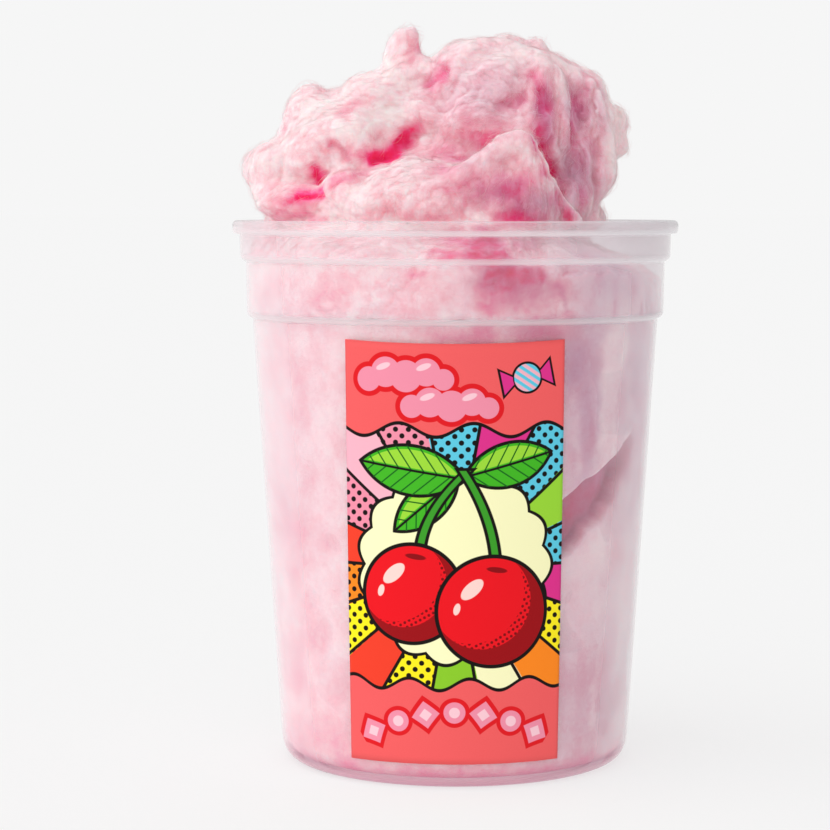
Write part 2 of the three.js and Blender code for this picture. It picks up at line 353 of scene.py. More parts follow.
floss = {
    "voxel": 0.78, "soften": 26, "puffCell": 14, "puffShare": 0.06,
    "warp": [(24, 2.4), (11, 0.8)],  # cell and reach of the slow wandering of every surface
    "swell": {"cell": 9.0, "height": 0.7},  # soft swellings
    "folds": {"cell": 3.6, "rounds": 50, "height": 0.19, "sheets": 2.5},  # folds drawn out along the flow
    "curds": {"cell": 4.2, "height": 0.42},  # small rounded crowns with creases between them
    "strands": {"rounds": 12, "height": 0.1},  # fine strands along the flow
    "shade": {"every": 6, "rays": 20, "reach": 26.0},  # how shut in each place is
    "gap": 0.1,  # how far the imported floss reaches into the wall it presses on
    "tint": {  # how much each cause of painted shade and highlight deepens or pales the pink
        "shutIn": 0.46, "turned": 0.2, "fold": 0.05, "curd": 0.1, "strand": 0.04, "lift": 0.01,
        "palest": -0.1,
    },
}
plug = {"low": 106.0, "shoulder": 129.0, "top": 138.0, "topRadius": 44.0, "slope": 4.5}
seam = {"height": 117.5, "depth": 1.0}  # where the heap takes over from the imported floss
# Deep creases: from, to (x, z as seen from the front), half width, depth, and the deeper pink painted along
# them as shade.
creases = [
    ((-27.8, 158.8), (-20.8, 157.5), 1.5, 0.8, 0.4), ((-20.8, 157.5), (-15, 159.2), 1.3, 1.6, 1.06),
    ((-15, 159.2), (-12.2, 162.4), 1.4, 1.4, 0.8), ((-12.2, 162.4), (-9.4, 166.6), 1.6, 0.7, 0.42),
    ((-31, 161.8), (-27.5, 158.6), 1, 1, 0.26), ((-30, 152.4), (-23, 153.8), 1.7, 0.5, 0.34),
    ((-35.6, 156), (-33.9, 151.5), 1.2, 0.7, 0.44), ((-33.9, 151.5), (-34.2, 148.6), 1.3, 0.8, 0.56),
    ((-34.2, 148.4), (-39, 148.2), 1.5, 1.2, 0.7), ((-39, 148.2), (-45, 146.8), 2.2, 0.8, 0.36),
    ((-6.8, 176.3), (-3.1, 180.6), 1.5, 1.4, 0.46), ((-13, 182.6), (-8.8, 186.5), 1.8, 0.4, 0.26),
    ((-29, 169.8), (-25.6, 171.2), 1.5, 0.5, 0.24), ((12.1, 170.7), (15.8, 172.7), 1.8, 0.9, 0.36),
    ((20.4, 179.4), (22.2, 174.9), 1.6, 1.2, 0.36), ((22.2, 174.9), (24.4, 170.8), 1.8, 1.4, 0.4),
    ((21.2, 163.6), (21.8, 160.4), 1.6, 1, 0.4), ((21.8, 160.4), (24, 154.4), 1.7, 1.6, 0.46),
    ((31, 176), (31.8, 164), 2.2, 1.4, 0.16), ((36.4, 176), (36.2, 152), 1.2, 1.2, 0.08),
    ((25.8, 173), (26.4, 160), 0.9, 0.9, 0.1), ((10.5, 142.4), (20.5, 142.4), 1.6, 0.6, 0.42),
    ((26, 148), (29, 143), 1.6, 0.8, 0.3), ((-37, 142.6), (-33.7, 142.4), 1.3, 0.5, 0.4),
]
# Fields of painted shade and highlight on the heap: centre (x, z), half sizes, pink (deeper pink as painted
# shade, below 0 paler as painted highlight), mauve shade.
fields = [
    ((-10.5, 185), (3, 5), 0.12, 0), ((2, 172), (9, 5), 0.04, 0.05), ((8, 165.5), (10, 4), 0.24, 0.2),
    ((-2, 157.5), (5, 6), 0.2, 0.05), ((11.5, 149), (8, 4.5), 0.34, 0.65), ((16, 153), (6, 6), 0.16, 0.12),
    ((8, 173.5), (17, 12.5), 0.04, 0.42), ((9, 185), (13, 4.5), -0.08, 0), ((3, 157), (12, 9), 0.2, 0.3),
    ((20, 146), (9, 5), 0.1, 0.75), ((-40, 162), (8, 12), 0.05, 0), ((31, 154), (7, 12), 0.26, 0.85),
    ((31.5, 170), (5, 9), 0.14, 0.75), ((22.6, 169), (3.4, 9), 0.28, 0.95), ((7, 157.2), (5, 2.2), -0.2, 0),
    ((15, 160), (5, 3.2), -0.36, 0), ((42, 163), (4, 16), -0.3, 0), ((20.6, 156.6), (1.8, 2.8), -0.34, 0),
    ((23.8, 151.4), (2, 2.8), -0.34, 0), ((27.4, 146.4), (2, 2.8), -0.34, 0), ((-29, 165.5), (9, 5), -0.1, 0),
    ((-13.5, 178.5), (4.5, 3), -0.16, 0), ((-20, 170), (8, 5), -0.06, 0), ((26.8, 168), (2, 14), -0.1, 0),
    ((37.6, 170), (3.4, 12), -0.06, 0.4), ((27, 160), (16, 26), 0.06, 0.16), ((-38, 150), (8, 4), 0.16, 0),
    ((-22, 157), (9, 3.5), 0.08, 0), ((-1.4, 149.3), (2.5, 2.5), 0.2, 0), ((-26, 170), (7, 3), 0.08, 0),
    ((-20, 147), (12, 5), 0.08, 0),
]
# Fields seen through the wall: degrees from the front, height, half sizes, pink (deeper pink as painted shade,
# below 0 paler as painted highlight), mauve shade.
wallFields = [
    ((-36, 123.5), (7, 4), 0.34, 0), ((-14, 126), (14, 2.4), 0.18, 0), ((4, 137.3), (11, 2.6), 0.6, 0.3),
    ((9.5, 136.6), (7.5, 3.2), 0.9, 0.8), ((24, 136.5), (9, 3), 0.34, 0.5), ((4, 114.5), (12, 3), 0.52, 0.35),
    ((24, 115), (14, 4.5), 0.46, 0.6), ((20, 126), (15, 7), 0.4, 0.6), ((12.5, 130), (7.5, 3.8), 0.7, 0.9),
    ((14, 127.5), (12, 4.5), 0.56, 0.75), ((10, 124), (11, 6), 0.42, 0.4), ((36, 106), (10, 14), 0.17, 1),
    ((40, 96), (10, 40), 0.04, 0.88), ((66, 95), (20, 46), 0.03, 0.68), ((44, 28), (30, 46), 0, 0.58),
    ((44, 44), (12, 14), -0.12, 0), ((48, 57), (8, 7), -0.14, 0), ((52, 100), (4, 22), -0.09, 0.4),
    ((46, 20), (13, 20), 0.17, 0.45), ((48, 128), (22, 14), 0.04, 0.75), ((-13, 122), (12, 6), 0.14, 0.04),
    ((-55, 121), (20, 8), 0.14, 0.2), ((-58, 80), (26, 46), 0.1, 0.22), ((-52, 62), (12, 9), 0.26, 0),
    ((-50, 92), (10, 6), 0.1, 0), ((-56, 30), (14, 26), 0.2, 0), ((0, 2), (400, 4), 0.5, 0.25),
    ((-58, 8), (30, 9), 0.3, 0.05),
]
# Streaks seen through the wall: from, to (degrees from the front, height), half width, pink (deeper pink as
# painted shade, below 0 paler as painted highlight), mauve shade.
wallStreaks = [
    ((-6, 133.9), (12, 133.4), 1.5, 0.66, 0.05), ((12, 133.4), (27, 136.8), 2.2, 0.46, 0.45),
    ((9.5, 129.9), (15.5, 129.6), 2.5, 0.98, 0.9), ((15.5, 129.6), (22.5, 128.4), 2.7, 0.86, 0.9),
    ((3, 133.8), (14, 133.4), 2.2, 0.9, 0.7), ((22.5, 128.8), (28, 126.4), 2, 0.56, 0.5),
    ((28, 126.4), (31, 121), 1.9, 0.42, 0.6), ((10, 129), (5, 125.4), 1.7, 0.56, 0.1),
    ((8, 126.6), (13.5, 126.2), 1.4, 0.7, 0.15), ((6, 121.5), (8.4, 119.5), 1.8, 0.6, 0.1),
    ((18, 119), (21.5, 118.6), 1.4, 0.5, 0.1), ((-12, 129.6), (-8, 129.4), 1.3, 0.36, 0),
    ((-44, 124), (-30, 121.5), 2.4, 0.24, 0), ((-2, 114.5), (4, 113.2), 2, 0.5, 0.1),
    ((40, 104), (43, 84), 1.6, 0.2, 0.6), ((47, 112), (48, 86), 1.8, -0.17, 0),
    ((55, 112), (53, 84), 1.5, -0.15, 0), ((60, 104), (61, 66), 1.6, -0.13, 0),
    ((66, 90), (64, 30), 1.8, -0.12, 0), ((36, 92), (38, 80), 1.6, -0.1, 0),
    ((52, 40), (50, 14), 1.8, -0.1, 0),
]


def lumpSurface(at, size, lean):  # an ellipsoid on a grid of latitude and longitude, swollen into billows
    rows, columns = 60, 96
    tilt = np.linspace(0, np.pi, rows)[1:-1, None]
    turn = np.linspace(0, 2 * np.pi, columns, endpoint=False)[None, :]
    unit = np.stack([np.sin(tilt) * np.cos(turn), np.sin(tilt) * np.sin(turn),
                     np.cos(tilt) * np.ones_like(turn)], axis=-1).reshape(-1, 3)
    unit = np.concatenate([unit, [[0, 0, 1], [0, 0, -1]]])
    p = unit * np.array(size)
    c, s = math.cos(math.radians(lean)), math.sin(math.radians(lean))
    p = np.stack([c * p[:, 0] + s * p[:, 2], p[:, 1], -s * p[:, 0] + c * p[:, 2]], axis=1)
    p *= 1 + floss["puffShare"] * (2 * billow(p + np.array(at), floss["puffCell"]) - 1)[:, None]
    return p + np.array(at), closedGrid(rows - 2, columns, flip=True)


tufts = {
    "seed": 31, "each": 7, "radius": (3.2, 6.4), "stretch": (0.75, 1.3), "lean": 30, "sunk": 0.55, "reach": 48,
}


def backTufts():  # small lumps scattered over the lumps of the back
    rng = np.random.default_rng(tufts["seed"])
    made = []
    for name in ("backTop", "backLeft", "backRight", "backLow", "backLeftLow", "backRightLow"):
        at, size, lean = lumps[name]
        for _ in range(tufts["each"]):
            way = rng.normal(size=3)
            way[1:] = np.abs(way[1:]) + (0.3, 0.0)
            way /= np.linalg.norm(way)
            radius = rng.uniform(*tufts["radius"])
            place = np.array(at) + way * (np.array(size) - tufts["sunk"] * radius)
            place[:2] *= min(1, tufts["reach"] / np.hypot(*place[:2]))
            sizes = radius * rng.uniform(*tufts["stretch"], 3)
            made.append(lumpSurface(place, sizes, rng.uniform(-tufts["lean"], tufts["lean"])))
    return made


def ridgeSurface():  # an oval section carried along a smooth path, closed with a point at each end
    knots = np.array(ridge["path"], dtype=float)
    at = np.linspace(0, len(knots) - 1, ridge["steps"])
    along = np.stack([np.interp(at, np.arange(len(knots)), knots[:, k]) for k in range(3)], axis=1)
    for _ in range(8):  # rounds the corners of the path
        along[1:-1] = (along[:-2] + 2 * along[1:-1] + along[2:]) / 4
    way = np.gradient(along, axis=0)
    way /= np.linalg.norm(way, axis=1, keepdims=True)
    out = np.array([0, -1.0, 0.2]) - way * (way @ np.array([0, -1.0, 0.2]))[:, None]
    out /= np.linalg.norm(out, axis=1, keepdims=True)
    side = np.cross(way, out)
    turn = np.linspace(0, 2 * np.pi, ridge["sides"], endpoint=False)[None, :, None]
    along = along + 0.8 * vectorNoise(along, 5, 60)
    thick = ridge["radius"] * (1 + ridge["ripple"] * gradientNoise(along, 3.5, 64))[:, None, None]
    p = along[:, None] + thick * (1.25 * out[:, None] * np.cos(turn) + 1.3 * side[:, None] * np.sin(turn))
    points = np.concatenate([p.reshape(-1, 3), along[[0, -1]]])
    return points, closedGrid(len(along), ridge["sides"], flip=True)


def plugSurface():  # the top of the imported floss, so that the heap grows out of it without a seam
    inner = innerRadius(plug["low"])
    profile = np.array([
        [inner - 6, plug["low"]], [inner - 1.5, plug["low"] + 2],
        *[[innerRadius(z) + 0.6, z] for z in np.linspace(plug["low"] + 6, plug["shoulder"], 14)],
        [innerRadius(plug["shoulder"]) - 2.5, plug["shoulder"] + 4.5], [plug["topRadius"], plug["top"]],
        [plug["topRadius"] - 8, plug["top"] + 1]])
    points, faces = revolve(profile, 160)
    points[:, 2] -= plug["slope"] * smoothStep(plug["low"] + 8, plug["top"], points[:, 2]) * points[:, 0] / 45
    return points, faces


def warped(points):  # moves points along slow noise, so that no lump stays a plain ball
    moved = points.copy()
    for k, (cell, reach) in enumerate(floss["warp"]):
        moved += reach * vectorNoise(points, cell, 20 + 5 * k) * smoothStep(116, 126, points[:, 2])[:, None]
    return moved


def fused(parts):  # joins closed surfaces into one skin by a voxel remesh; returns its points and quads
    offset, allPoints, groups = 0, [], []
    for points, faces in parts:
        groups += [face + offset for face in faces]
        allPoints.append(points)
        offset += len(points)
    mesh = buildMesh("fuse", np.concatenate(allPoints), groups)
    blob = bpy.data.objects.new("fuse", mesh)
    bpy.context.scene.collection.objects.link(blob)
    remesh = blob.modifiers.new("remesh", "REMESH")
    remesh.mode, remesh.voxel_size = "VOXEL", floss["voxel"] * mm
    done = blob.evaluated_get(bpy.context.evaluated_depsgraph_get()).to_mesh()
    points = np.empty(len(done.vertices) * 3, dtype=np.float32)
    done.vertices.foreach_get("co", points)
    quads = np.empty(len(done.loops), dtype=np.int32)
    done.loops.foreach_get("vertex_index", quads)
    bpy.data.objects.remove(blob)
    return points.reshape(-1, 3).astype(float) / mm, quads.reshape(-1, 4)


def edgesOf(quads):
    pairs = np.concatenate([quads[:, [0, 1]], quads[:, [1, 2]], quads[:, [2, 3]], quads[:, [3, 0]]])
    return np.unique(np.sort(pairs, axis=1), axis=0)


def normalsOf(points, quads):
    a, b, c, d = (points[quads[:, k]] for k in range(4))
    faceNormal = np.cross(c - a, d - b)
    total = np.zeros_like(points)
    for k in range(4):
        for axis in range(3):
            total[:, axis] += np.bincount(quads[:, k], faceNormal[:, axis], len(points))
    return total / np.maximum(np.linalg.norm(total, axis=1, keepdims=True), 1e-9)


def averaged(values, edges, weights, rounds):  # spreads values over neighbouring points
    i, j = edges.T
    count = len(values)
    share = np.bincount(i, weights, count) + np.bincount(j, weights, count)
    for _ in range(rounds):
        columns = values.reshape(count, -1)
        spread = np.stack([
            np.bincount(i, weights * column[j], count) + np.bincount(j, weights * column[i], count)
            for column in columns.T], axis=1)
        values = (0.5 * columns + 0.5 * spread / np.maximum(share, 1e-9)[:, None]).reshape(values.shape)
    return values


def flowOf(points, normals):  # the way the floss was spun: slanting on the left, upright on the right
    upright = smoothStep(8, 24, points[:, 0])[:, None]
    lead = upright * np.array([-0.15, 0, 1.0]) + (1 - upright) * np.array([0.8, 0, 0.35])
    flow = 0.9 * lead + 1.2 * vectorNoise(points, 19, 40) + 0.5 * vectorNoise(points, 8, 46)
    flow -= normals * np.einsum("ij,ij->i", flow, normals)[:, None]
    return flow / np.maximum(np.linalg.norm(flow, axis=1, keepdims=True), 1e-9)


def combed(values, points, normals, edges, rounds):  # values drawn out along the flow, about -1 to 1
    flow = flowOf(points, normals)
    way = points[edges[:, 1]] - points[edges[:, 0]]
    way /= np.maximum(np.linalg.norm(way, axis=1, keepdims=True), 1e-9)
    middle = flow[edges[:, 0]] + flow[edges[:, 1]]
    weights = np.einsum("ij,ij->i", way, middle) ** 4 + 1e-4
    value = averaged(values, edges, weights, rounds)
    value -= value.mean()
    return np.clip(value / (2 * value.std()), -1, 1)


def segmentDistance(points, start, end):  # distance in the front view from a crease's line
    p = points[:, [0, 2]]
    a, b = np.array(start, dtype=float), np.array(end, dtype=float)
    t = np.clip((p - a) @ (b - a) / max((b - a) @ (b - a), 1e-9), 0, 1)
    return np.linalg.norm(p - a - t[:, None] * (b - a), axis=1)


def shutIn(points, quads, normals, edges, rng):  # how much of the air near each point is closed off, 0 to 1
    tree = BVHTree.FromPolygons(points.tolist(), quads.tolist())
    count, rays, reach = len(points), floss["shade"]["rays"], floss["shade"]["reach"]
    some = np.arange(0, count, floss["shade"]["every"])
    ways = rng.normal(size=(len(some), rays, 3))
    ways /= np.linalg.norm(ways, axis=2, keepdims=True)
    ways = ways + normals[some][:, None] * 1.02
    starts = (points[some] + normals[some] * 0.4).tolist()
    closed = np.zeros(len(some))
    for k, (start, bundle) in enumerate(zip(starts, ways.tolist())):
        hits = [tree.ray_cast(start, way, reach)[3] for way in bundle]
        closed[k] = sum(1 - hit / reach for hit in hits if hit is not None) / rays
    known = np.zeros((count, 2))
    known[some, 0], known[some, 1] = closed, 1
    known = averaged(known, edges, np.ones(len(edges)), 12)
    return known[:, 0] / np.maximum(known[:, 1], 1e-9)


def field(across, up, at, size):  # 1 in the middle of an oval field, fading out round it
    return np.exp(-((across - at[0]) / size[0]) ** 2 - ((up - at[1]) / size[1]) ** 2)


def wallTint(points):  # pink and mauve of what lies against the tub's wall: deeper pink and mauve as painted shade, pale streaks as painted highlight
    angle = np.degrees(np.arctan2(points[:, 0], -points[:, 1]))
    wander = 1.7 * vectorNoise(points, 6, 90) + 0.9 * vectorNoise(points, 2.4, 94)
    turn, height = angle + wander[:, 0], points[:, 2] + wander[:, 2]
    patchy = 0.84 + 0.3 * gradientNoise(points, 3.2, 98)
    pink, pale, mauve = np.zeros(len(points)), np.zeros(len(points)), np.zeros(len(points))
    for at, size, rosy, violetShade in wallFields:
        reach = field(turn, height, at, size)
        pink = np.maximum(pink, rosy * reach)
        pale = np.minimum(pale, rosy * reach)
        mauve = np.maximum(mauve, violetShade * reach)
    flat = np.stack([turn, turn, height], axis=1)  # a degree is close to a millimetre along the wall
    for start, end, width, rosy, violetShade in wallStreaks:
        reach = np.exp(-(segmentDistance(flat, start, end) / width) ** 2) * patchy
        pink = np.maximum(pink, rosy * reach)
        pale = np.minimum(pale, rosy * reach)
        mauve = np.maximum(mauve, violetShade * reach)
    return pink + pale, mauve * (1 + 3 * pale)


def heapSurface():  # fused lumps with creases, swellings, folds and strands
    rng = np.random.default_rng(5)
    parts = [lumpSurface(*lump) for lump in lumps.values()] + backTufts() + [ridgeSurface(), plugSurface()]
    parts = [(warped(points), faces) for points, faces in parts]
    points, quads = fused(parts)
    edges = edgesOf(quads)
    even = np.ones(len(edges))
    points = averaged(points, edges, even, floss["soften"])
    smooth = averaged(normalsOf(points, quads), edges, even, 8)
    front = smoothStep(0.0, 0.35, -smooth[:, 1])
    wander = points + 0.9 * vectorNoise(points, 5, 50) + 0.5 * vectorNoise(points, 2.2, 54)
    creaseShadePink = np.zeros(len(points))
    carve = np.zeros(len(points))
    # Each crease is carved, and deeper pink is painted along it as shade.
    for start, end, width, depth, colour in creases:
        distance = segmentDistance(wander, start, end) / width
        carve = np.maximum(carve, depth * np.exp(-distance ** 2) * front)
        creaseShadePink = np.maximum(creaseShadePink, colour * np.exp(-(0.8 * distance) ** 2) * front)
    points = points - smooth * carve[:, None]
    normals = normalsOf(points, quads)
    swell = gradientNoise(points, floss["swell"]["cell"], 70)
    points = points + normals * (swell * floss["swell"]["height"])[:, None]
    normals = normalsOf(points, quads)
    start = gradientNoise(points, floss["folds"]["cell"], 75)
    folds = combed(start, points, normals, edges, floss["folds"]["rounds"])
    folds *= 1 + floss["folds"]["sheets"] * smoothStep(12, 26, points[:, 0])
    points = points + normals * (folds * floss["folds"]["height"])[:, None]
    curds = billow(points + 0.8 * vectorNoise(points, 2.6, 110), floss["curds"]["cell"], 114) - 0.5
    curds *= 1 - 0.6 * smoothStep(12, 26, points[:, 0])
    points = points + normals * (curds * floss["curds"]["height"])[:, None]
    normals = normalsOf(points, quads)
    strands = combed(rng.normal(size=len(points)), points, normals, edges, floss["strands"]["rounds"])
    points = points + normals * (strands * floss["strands"]["height"])[:, None]
    smooth = averaged(normalsOf(points, quads), edges, even, 4)
    closed = shutIn(points, quads, smooth, edges, rng)
    print("shut in", np.round(np.percentile(closed, [5, 25, 50, 75, 95, 99]), 2))
    radius = np.hypot(points[:, 0], points[:, 1])
    limit = innerRadius(points[:, 2]) + floss["gap"]
    limit -= seam["depth"] * smoothStep(0.8, -2.0, points[:, 2] - seam["height"])
    below = points[:, 2] < tub["height"] + 0.2
    squeeze = np.where(below & (radius > limit), limit / np.maximum(radius, 1e-9), 1)
    points[:, :2] *= squeeze[:, None]
    pink, mauve = np.zeros(len(points)), np.zeros(len(points))
    # Painted shade and highlight from the fields.
    for at, size, rosy, violetShade in fields:
        reach = field(wander[:, 0], wander[:, 2], at, size) * front
        pink = pink + rosy * reach
        mauve = np.maximum(mauve, violetShade * reach)
    inside = smoothStep(tub["height"] + 0.5, tub["height"] - 1.5, points[:, 2])
    wallPink, wallMauveShade = wallTint(points)
    pink = pink * (1 - inside) + wallPink * inside
    mauve = mauve * (1 - inside) + wallMauveShade * inside
    # Painted shade: the pink deepens where a point is shut in by the floss round it, and on the side turned
    # from the key lamp, less so towards +X.
    shade = smoothStep(0.16, 0.62, closed) * (1 - inside)
    turned = smoothStep(0.62, -0.2, smooth @ np.array([-0.67, -0.42, 0.62])) * (1 - inside)
    turned *= 1 - 0.75 * smoothStep(4, 26, points[:, 0])
    tint = floss["tint"]
    # The pink level is painted light: deeper in shut-in places, creases, fields and on the side from the key
    # lamp as painted shade, paler on the crowns of folds, curds and strands as painted highlight.
    hollow = (shade * tint["shutIn"] * (1 - 0.6 * mauve) + tint["turned"] * turned + pink + creaseShadePink
              - tint["fold"] * folds - tint["curd"] * curds - tint["strand"] * strands)
    return points, quads, np.clip(hollow + tint["lift"], tint["palest"], 1), mauve


def spunSugar(name, strand=False):  # spun sugar floss: soft deep scatter, with paler crowns and hot pink in its folds painted in as highlight and shade
    material, tree = newMaterial(name)
    place = addNode(tree, "TexCoord").outputs["Object"]
    hollow, mauve = (Field(addNode(tree, "Attribute", {"attribute_name": attribute}).outputs["Fac"])
                     for attribute in ("hollow", "mauve"))
    cloud = addNode(tree, "TexNoise", {
        "Scale": 1 / (10 * mm), "Detail": 3.0, "Roughness": 0.55, "Vector": place})
    felt = addNode(tree, "TexNoise", {
        "Scale": 1 / (1.3 * mm), "Detail": 4.0, "Roughness": 0.7, "Distortion": 0.8, "Vector": place})
    drift = Field(cloud.outputs["Fac"]).between(0.35, 0.7, -0.12, 0.12)
    fleck = Field(felt.outputs["Fac"]).between(0.3, 0.7, -0.09, 0.09)
    # The cream end of the ramp is painted highlight and the hot pink end painted shade; drift and fleck are
    # random tone.
    ramp = addNode(tree, "ValToRGB", {"Fac": (hollow + drift + fleck).between(-0.25, 1.0)})
    setStops(ramp, [(0.0, "#FEECEA"), (0.12, "#FDE4E4"), (0.2, "#FBDDE0"), (0.376, "#F5BFC8"),
                    (0.6, "#F294AF"), (0.808, "#FC4F8B"), (1.0, "#FF236B")])
    # Painted shade: the mauve shade multiplies the pink down towards grey-purple.
    tint = addNode(tree, "Mix", {"data_type": "RGBA", "blend_type": "MULTIPLY", 0: mauve, 6: ramp,
                                 7: linear("#C9AEC9")}).outputs[2]
    if strand:
        tint = addNode(tree, "Mix", {"data_type": "RGBA", 0: 0.5, 6: tint, 7: linear("#FFF8F8")}).outputs[2]
        body = addNode(tree, "BsdfDiffuse", {"Color": tint})
        glow = addNode(tree, "BsdfTranslucent", {"Color": tint})
        skin = addNode(tree, "MixShader", {0: 0.5, 1: body, 2: glow})
    else:
        bump = addNode(tree, "Bump", {"Strength": 0.7, "Distance": 0.4 * mm, "Height": felt.outputs["Fac"]})
        skin = addNode(tree, "BsdfPrincipled", {
            "Roughness": 1.0, "IOR": 1.4, "Specular IOR Level": 0.0, "Subsurface Weight": 1.0,
            "Subsurface Radius": (1.0, 0.6, 0.66), "Subsurface Scale": 4.5 * mm,
            "Sheen Weight": 0.12, "Sheen Roughness": 0.8, "Sheen Tint": linear("#FFE9EE"),
            "Base Color": tint, "Normal": bump})
    addNode(tree, "OutputMaterial", {"Surface": skin})
    return material


flossMaterial = spunSugar("spunSugarFloss")
strandMaterial = spunSugar("spunSugarStrands", strand=True)
heapPoints, heapQuads, heapHollow, heapMauveShade = heapSurface()
addPiece("flossHeap", heapPoints, [heapQuads], flossMaterial, "candy", ["candy"],
         hollow=heapHollow, mauve=heapMauveShade)
print("heap done", len(heapPoints), "points")


# The cotton candy packed in the tub.
packed = {
    "floor": tub["footRise"] + tub["wall"] - floss["gap"], "top": 120.0, "columns": 360, "rows": 200,
}
hollows = [  # degrees from the front towards +X, height, half sizes, depth, rise per degree
    (-158, 84, 19, 15, 3, -0.6), (118, 42, 18, 13, 3, 0.5),
]
# The wedge: a carved hollow with painted shade in it, its pink and mauve shade.
wedge = {
    "angle": (24, 30, 36, 39, 42, 52, 58, 63, 67), "low": (55, 56.5, 59, 61, 64.5, 67.5, 72, 79, 87),
    "high": (64, 70.5, 74, 75.5, 77, 81, 84.5, 87.5, 91), "depth": 4.2, "fadeFrom": 60,
    "pink": 0.25, "mauve": 1.0,
}


def wedgeReach(angle, height):  # a slanting hollow that narrows upwards, 1 inside and 0 outside
    low = np.interp(angle, wedge["angle"], wedge["low"])
    high = np.interp(angle, wedge["angle"], wedge["high"])
    first, second, *_, last = wedge["angle"]
    inside = smoothStep(first, second, angle) * smoothStep(last, wedge["fadeFrom"], angle)
    return inside * smoothStep(-1.0, 1.6, height - low) * smoothStep(-0.8, 1.4, high - height)


def packedSurface():  # angle by distance along the inside profile, pulled off the wall where it is hollow
    base, top = packed["floor"], packed["top"]
    wallRows = np.linspace(base + 0.4, top, packed["rows"])
    profile = np.concatenate([
        np.stack([np.linspace(0.5, tub["footRadius"] - 2, 14), np.full(14, base)], axis=1),
        np.stack([innerRadius(wallRows), wallRows], axis=1),
        np.stack([np.linspace(innerRadius(top) - 1.5, 0.5, 12), np.full(12, top + 1)], axis=1),
    ])
    points, faces = revolve(profile, packed["columns"])
    radius = np.maximum(np.hypot(points[:, 0], points[:, 1]), 1e-6)
    angle = np.degrees(np.arctan2(points[:, 0], -points[:, 1]))
    height = points[:, 2].copy()
    depth = np.zeros(len(points))
    for at, up, halfAngle, halfHeight, deep, slope in hollows:
        turn = (angle - at + 180) % 360 - 180 + 7 * gradientNoise(points, 11, 120)
        rise = height - up - slope * turn + 6 * gradientNoise(points, 9, 122)
        rest = 1 - (turn / halfAngle) ** 2 - (rise / halfHeight) ** 2
        depth = np.maximum(depth, deep * smoothStep(0, 1, rest))
    wander = points + 3 * vectorNoise(points, 15, 80)
    streaks = gradientNoise(wander * np.array([1, 1, 0.22]), 3.4, 126)
    ragged = vectorNoise(points, 5, 88) * 1.2
    reach = wedgeReach(angle + ragged[:, 0], height + ragged[:, 2])
    depth = np.maximum(depth, wedge["depth"] * reach)
    loose = np.maximum(0, gradientNoise(wander, 26, 84) * 2.2 + gradientNoise(wander, 10, 85) * 1.2 - 0.3)
    loose *= smoothStep(112, 96, height)
    side = smoothStep(base + 0.5, base + 4, height)
    depth = (depth + loose * smoothStep(4, 14, height)) * side
    inward = depth + seam["depth"] * smoothStep(-0.8, 2.0, height - seam["height"])
    onWall = smoothStep(base + 0.1, base + 0.4, height)
    points[:, :2] *= ((radius + floss["gap"] * onWall - inward) / radius)[:, None]
    pink, mauve = wallTint(points)
    # Painted shade: deeper pink where the floss is pulled off the wall and in the wedge; the streaks are
    # random tone.
    hollow = depth / 14 + pink + wedge["pink"] * reach + 0.06 * streaks
    return points, faces, np.clip(hollow + 0.03, -0.1, 1), np.maximum(mauve, wedge["mauve"] * reach)


packedPoints, packedFaces, packedHollow, packedMauveShade = packedSurface()
addPiece("flossPacked", packedPoints, packedFaces, flossMaterial, "candy", ["candy"],
         hollow=packedHollow, mauve=packedMauveShade)
print("packed floss done")


# Loose fibres on the heap.
fibres = {
    "pieces": 2, "perPiece": 7500, "length": (3.0, 9.0), "rise": (0.1, 1.1), "radius": (0.018, 0.034),
    "rings": 4, "stray": 0.55, "curl": 0.16, "sunk": 0.25, "hollowest": 0.42, "belowRim": 8,
}


def fibreTubes(roots, normals, flow, rng):  # three-sided tubes that arch off the surface and sink back in
    count, rings = len(roots), fibres["rings"]
    stray = rng.normal(size=(count, 3))
    way = flow + fibres["stray"] * stray
    way -= normals * np.einsum("ij,ij->i", way, normals)[:, None]
    way /= np.linalg.norm(way, axis=1, keepdims=True)
    side = np.cross(normals, way)
    length = rng.uniform(*fibres["length"], count)
    rise = rng.uniform(*fibres["rise"], count) * rng.uniform(0.3, 1.0, count)
    curl = rng.normal(size=count) * fibres["curl"] * length
    t = np.linspace(0, 1, rings + 2)[None, :]
    arch = 4 * t * (1 - t)
    lift = arch * rise[:, None] - fibres["sunk"] - 0.02 * length[:, None] * (1 - arch)
    path = (roots[:, None] + way[:, None] * ((t - 0.5) * length[:, None])[..., None]
            + normals[:, None] * lift[..., None]
            + side[:, None] * (arch * curl[:, None])[..., None])
    radius = rng.uniform(*fibres["radius"], count)[:, None] * np.sqrt(arch)
    turn = 2 * np.pi * np.arange(3) / 3
    around = (side[:, None, None] * np.cos(turn)[None, None, :, None]
              + normals[:, None, None] * np.sin(turn)[None, None, :, None])
    body = path[:, 1:-1, None] + around * radius[:, 1:-1, None, None]
    points = np.concatenate([body.reshape(count, -1, 3), path[:, [0, -1]]], axis=1)
    each = points.shape[1]
    quads, head, tail = closedGrid(rings, 3)
    fans = np.concatenate([head, tail])
    shift = (np.arange(count) * each)[:, None, None]
    return points.reshape(-1, 3), [(quads + shift).reshape(-1, 4), (fans + shift).reshape(-1, 3)], each


